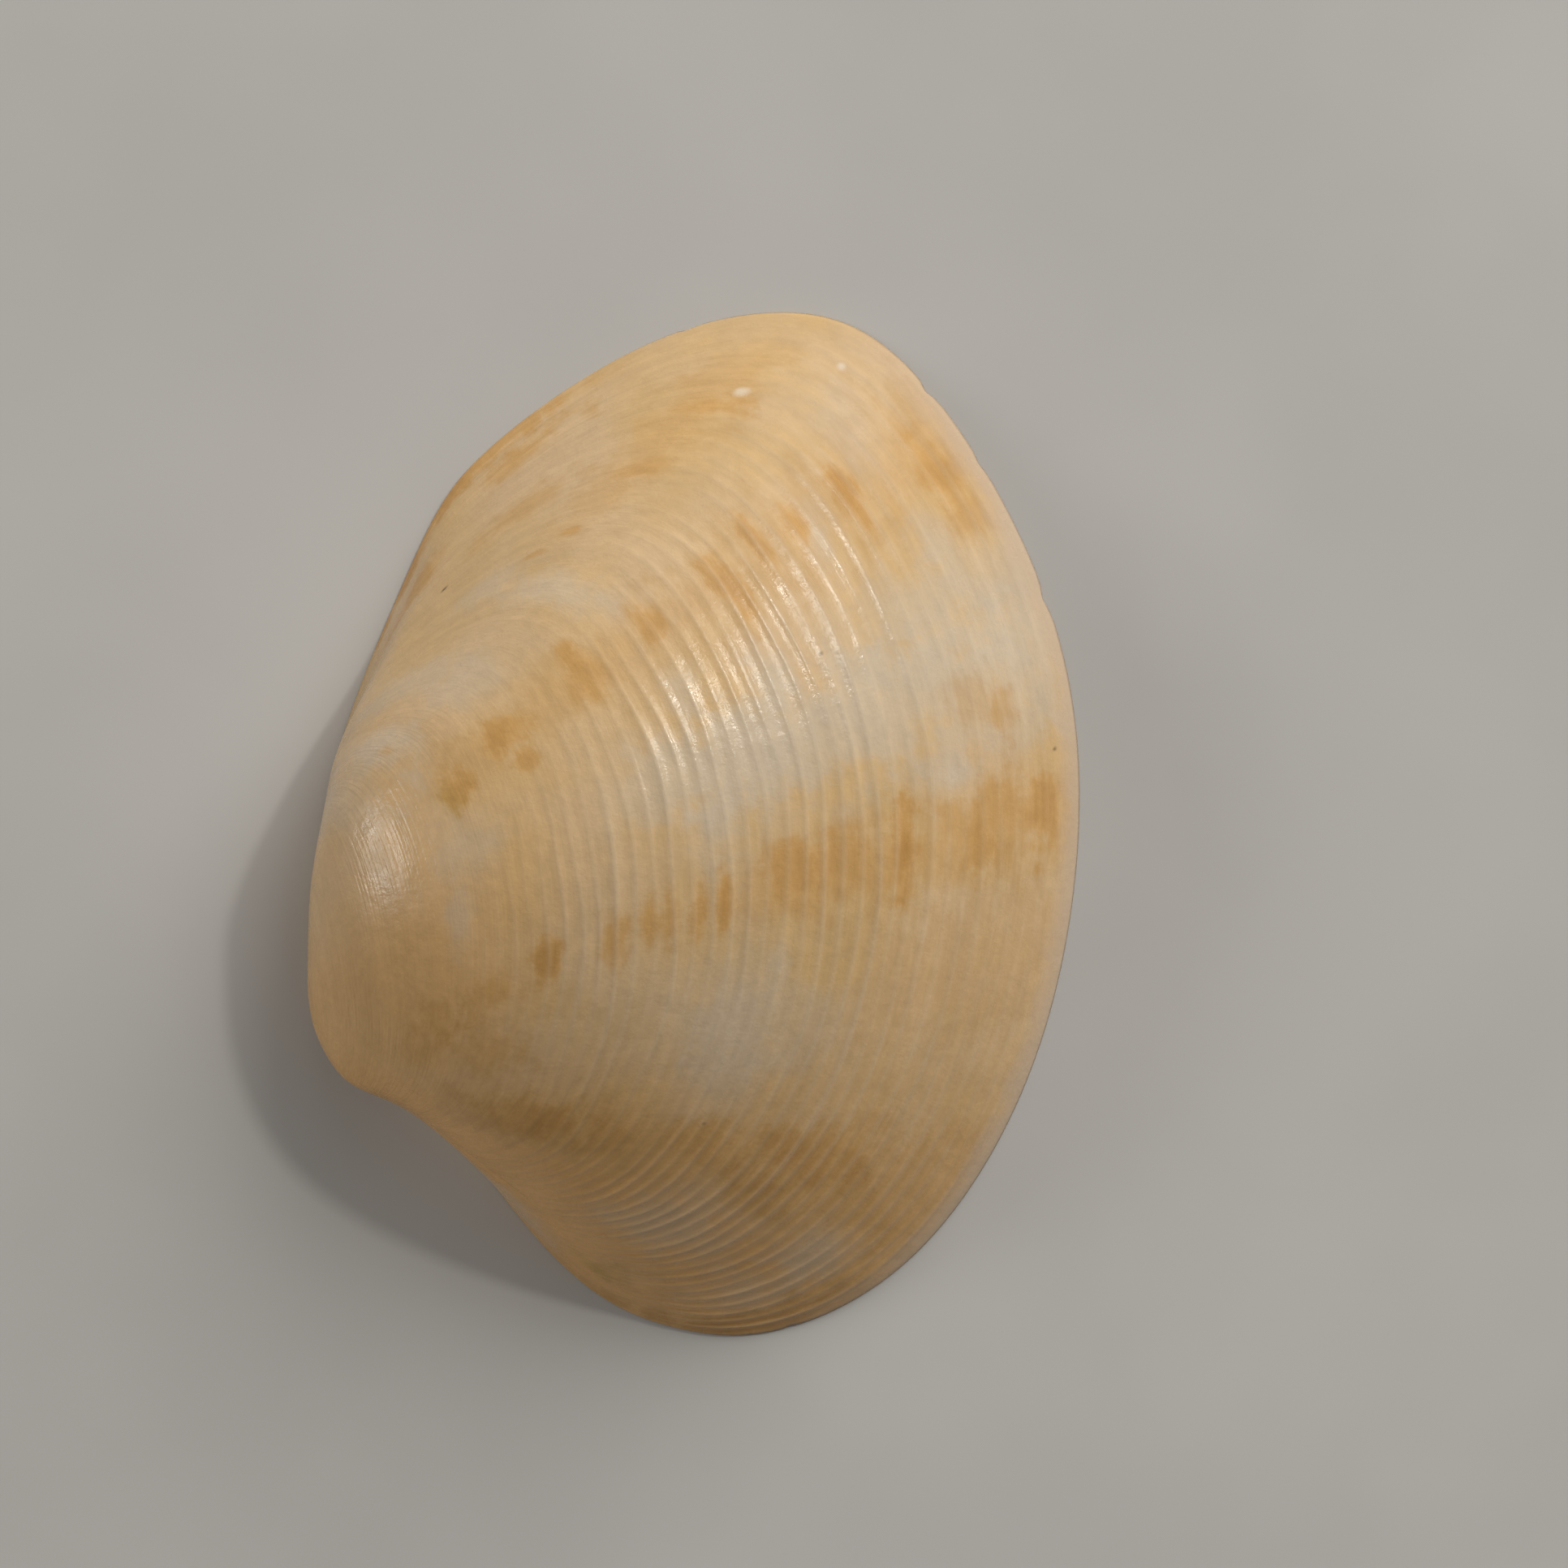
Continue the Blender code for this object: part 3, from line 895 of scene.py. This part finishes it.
def ray_share(make, place, age, ragged, rays):
    """Share of the rays, as soft bands that narrow towards the umbo."""
    total = None
    for at_rim, drift, half, young, old, strength in rays:
        middle = make.times(age, drift)
        middle = make.plus(middle, at_rim)
        far = make.math("ABSOLUTE", make.minus(place, middle))
        far = make.math("DIVIDE", far, half)
        far = make.plus(far, ragged)
        share = make.fade(far, *RAY_FADE, 0.0, strength)
        grown = make.fade(age, old, old - RAY_OLD_SPAN)
        share = make.times(share, grown)
        grown = make.fade(age, young, young + RAY_YOUNG_SPAN)
        share = make.times(share, grown)
        total = share if total is None else make.math("MAXIMUM", total, share)
    return total


def start_material(name):
    """A material, its node calls, its shader and object coordinates."""
    material = bpy.data.materials.new(name)
    material.use_nodes = True
    make = Nodes(material.node_tree)
    shader = material.node_tree.nodes["Principled BSDF"]
    where = make.add("ShaderNodeTexCoord", {}).outputs["Object"]
    return material, make, shader, where


def growth_noise(make, place, size, grain):
    """Noise drawn out along the growth lines."""
    along, across, detail, roughness = grain
    lines = make.vector(make.times(place, along), make.times(size, across))
    return make.noise(lines, 1.0, detail, roughness)


def finish_shell(make, shader, height, unit):
    """The gloss of shell, and bump of unit mm for each 1 of height."""
    inputs = {"Height": height, "Strength": 1.0, "Distance": unit * MM}
    bump = make.add("ShaderNodeBump", inputs)
    make.put(shader.inputs["Normal"], bump.outputs[0])
    shader.inputs["IOR"].default_value = SHELL_IOR


def ground_colour(make, spot, place, age, clouds, ragged, wisps):
    """Straw and cream, warm on the umbo and in front, with rays and milk; the
    warmer front is partly painted shade.
    """
    base = make.mix(make.fade(clouds, *CREAM_FADE), STRAW, CREAM)
    # Warmer and a little darker towards the front end: partly the shell's
    # tint, partly painted shade of the dimly lit front slope.
    front = make.fade(place, *FRONT_WARMTH_AND_SHADE)
    umbo = make.fade(age, *UMBO_WARMTH)
    umbo = make.times(umbo, make.fade(place, *UMBO_WARMTH_REAR))
    base = make.mix(make.math("MAXIMUM", front, umbo), base, WARM)
    rays = ray_share(make, place, age, ragged, RAYS)
    base = make.mix(rays, base, HONEY)
    veil = ray_share(make, place, age, wisps, MILKY_RAYS)
    base = make.mix(veil, base, MILK)
    milky = add_spots(make, spot, place, age, wisps, MILKY_PATCHES)
    return make.mix(make.times(milky, MILKY_SHARE), base, MILK)


def outer_material():
    """Cream shell with honey rays and milky patches, glossy, finely lined."""
    material, make, shader, where = start_material("shell_outside")
    spot = spot_group()
    grown = make.add("ShaderNodeUVMap", {}, uv_map="growth").outputs[0]
    parts = make.add("ShaderNodeSeparateXYZ", {0: grown}).outputs
    place = parts[0]
    age = make.times(parts[1], AGE_OF_TIP)
    size = make.math("EXPONENT", make.times(age, -1.0))
    crest = make.add("ShaderNodeAttribute", {}, attribute_name="crest")
    crest = crest.outputs["Fac"]

    # Fibres along the growth lines, soft clouds and fine mottling.
    fibres = growth_noise(make, place, size, FIBRES)
    clouds = make.noise(where, *CLOUDS)
    mottle = make.noise(where, *MOTTLE)
    wisps = make.times(make.minus(mottle, 0.5), RAGGED_MOTTLE)
    ragged = make.times(make.minus(fibres, 0.5), RAGGED_FIBRES)
    ragged = make.plus(ragged, wisps)
    base = ground_colour(make, spot, place, age, clouds, ragged, wisps)

    # Blotches, two of them partly painted shade on the steep rim, browner in
    # the grooves than on the crests; the darker grooves are partly painted
    # shade.
    brown_and_edge_shade = add_spots(make, spot, place, age, ragged, BLOTCHES_AND_EDGE_SHADE)
    base = make.mix(make.fade(brown_and_edge_shade, *HONEY_FADE), base, HONEY)
    groove = make.minus(1.0, make.times(crest, AMBER_OFF_CREST))
    deep = make.times(make.fade(brown_and_edge_shade, *AMBER_FADE), groove)
    base = make.mix(make.times(deep, AMBER_SHARE), base, AMBER)
    green = add_spots(make, spot, place, age, ragged, OLIVE_SPOTS)
    base = make.mix(make.times(green, OLIVE_SHARE), base, OLIVE)

    # Pale crests, and a tone that follows the fibres, the mottling and years.
    base = make.mix(make.times(crest, CREST_SHARE), base, MILK)
    tone = make.fade(fibres, *FIBRE_TONE)
    tone = make.times(tone, make.fade(mottle, *MOTTLE_TONE))
    years = growth_noise(make, place, size, YEARS)
    tone = make.times(tone, make.fade(years, *YEAR_TONE))
    base = make.mix(1.0, base, make.vector(tone, tone, tone), "MULTIPLY")

    # The rim is paler and a little pink along the belly.
    near = make.plus(age, make.times(wisps, BLUSH_RAGGED))
    belly = make.fade(place, *BLUSH_FRONT)
    belly = make.times(belly, make.fade(place, *BLUSH_REAR))
    near = make.times(make.fade(near, *BLUSH_AGE), belly)
    base = make.mix(make.times(near, BLUSH_SHARE), base, BLUSH)

    white = add_spots(make, spot, place, age, wisps, WHITE_SPECKS)
    base = make.mix(white, base, CHALK)
    dark = add_spots(make, spot, place, age, wisps, DARK_SPECKS)
    base = make.mix(dark, base, SPECK)
    make.put(shader.inputs["Base Color"], base)

    rough = make.fade(make.noise(where, *GLOSS), *ROUGHNESS)
    make.put(shader.inputs["Roughness"], rough)

    # Striae between the ridges, stronger on the umbo, and slight ripples.
    striae = growth_noise(make, place, size, STRIAE)
    relief = make.times(striae, make.fade(age, *STRIAE_GROWTH))
    ripples = make.times(make.noise(where, *RIPPLES), RIPPLE_SHARE)
    finish_shell(make, shader, make.plus(relief, ripples), BUMP_UNIT)
    return material


def inner_material():
    """Smooth porcelain inside with slightly duller muscle scars."""
    material, make, shader, where = start_material("shell_inside")
    scar = make.add("ShaderNodeAttribute", {}, attribute_name="scar")
    clouds = make.noise(where, *INSIDE_CLOUDS)
    warm = make.fade(clouds, *INSIDE_CREAM_FADE)
    base = make.mix(warm, PORCELAIN, INSIDE_CREAM)
    dull = make.times(scar.outputs["Fac"], SCAR_SHARE)
    base = make.mix(dull, base, SCAR_TAN)
    make.put(shader.inputs["Base Color"], base)
    rough = make.fade(make.noise(where, *INSIDE_GLOSS), *INSIDE_ROUGHNESS)
    make.put(shader.inputs["Roughness"], rough)
    pits = make.noise(where, *INSIDE_PITS)
    finish_shell(make, shader, pits, INSIDE_BUMP_UNIT)
    return material


# Half the floor's side, and how far it lies under the rim.
FLOOR_HALF = 1500.0
FLOOR_DROP = 0.02


def add_floor():
    """Plain pale floor just under the rim."""
    half = FLOOR_HALF * MM
    level = -FLOOR_DROP * MM
    data = bpy.data.meshes.new("floor")
    corners = [(-half, -half), (half, -half), (half, half), (-half, half)]
    data.from_pydata([(x, y, level) for x, y in corners], [], [(0, 1, 2, 3)])
    floor = bpy.data.objects.new("floor", data)
    bpy.context.scene.collection.objects.link(floor)
    material, make, shader, where = start_material("floor_paper")
    shade = make.fade(make.noise(where, *FLOOR_GRAIN), *FLOOR_SHADE)
    make.put(shader.inputs["Base Color"], make.vector(shade, shade, shade))
    shader.inputs["Roughness"].default_value = 0.9
    data.materials.append(material)


# Soft lights: name, azimuth from +X and tilt from straight up in degrees,
# distance and width in m, power in W, colour, and whether the gloss shows it.
LIGHTS = (
    ("window", 56.0, 65.0, 0.60, 0.50, 2.55, (1.0, 0.955, 0.885), False),
    ("fill", 178.0, 62.0, 0.60, 0.40, 0.22, (1.0, 0.95, 0.87), False),
    ("sky", 70.0, 50.0, 0.60, 0.60, 0.28, (1.0, 0.98, 0.95), True),
    ("lamp", 45.0, 43.0, 0.60, 0.045, 0.55, (1.0, 0.95, 0.86), True),
    ("side", 174.0, 67.0, 0.60, 0.15, 0.50, (1.0, 0.96, 0.92), True),
)
WORLD_STRENGTH = 0.145
WORLD_COLOUR = (1.0, 0.945, 0.86, 1.0)


def add_lights():
    """Soft studio light, most of it from the rear end's side."""
    for name, azimuth, tilt, distance, width, power, colour, gloss in LIGHTS:
        azimuth = math.radians(azimuth)
        tilt = math.radians(tilt)
        away = Vector((
            math.sin(tilt) * math.cos(azimuth),
            math.sin(tilt) * math.sin(azimuth),
            math.cos(tilt)))
        data = bpy.data.lights.new(name, "AREA")
        data.shape = "DISK"
        data.size = width
        data.energy = power
        data.color = colour
        light = bpy.data.objects.new(name, data)
        light.location = away * distance
        light.rotation_euler = away.to_track_quat("Z", "Y").to_euler()
        light.visible_glossy = gloss
        bpy.context.scene.collection.objects.link(light)
    world = bpy.data.worlds.new("studio")
    world.use_nodes = True
    ground = world.node_tree.nodes["Background"]
    ground.inputs["Color"].default_value = WORLD_COLOUR
    ground.inputs["Strength"].default_value = WORLD_STRENGTH
    bpy.context.scene.world = world


def add_camera():
    """Camera straight above, framed as the photograph is."""
    middle = PHOTO_SIDE / 2.0
    x = (middle - ORIGIN_PIXEL[0]) * PIXEL
    y = (ORIGIN_PIXEL[1] - middle) * PIXEL
    distance = PHOTO_SIDE * PIXEL * LENS / SENSOR
    data = bpy.data.cameras.new("camera")
    data.lens = LENS
    data.sensor_width = SENSOR
    camera = bpy.data.objects.new("camera", data)
    camera.location = Vector((x, y, distance)) * MM
    bpy.context.scene.collection.objects.link(camera)
    bpy.context.scene.camera = camera


add_camera()
valve = bpy.data.objects.new("valve_shell", build_valve())
bpy.context.scene.collection.objects.link(valve)
valve.data.materials.append(outer_material())
valve.data.materials.append(inner_material())
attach(valve, "root")
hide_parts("valve")
add_floor()
add_lights()
bpy.context.scene.view_settings.view_transform = "Standard"
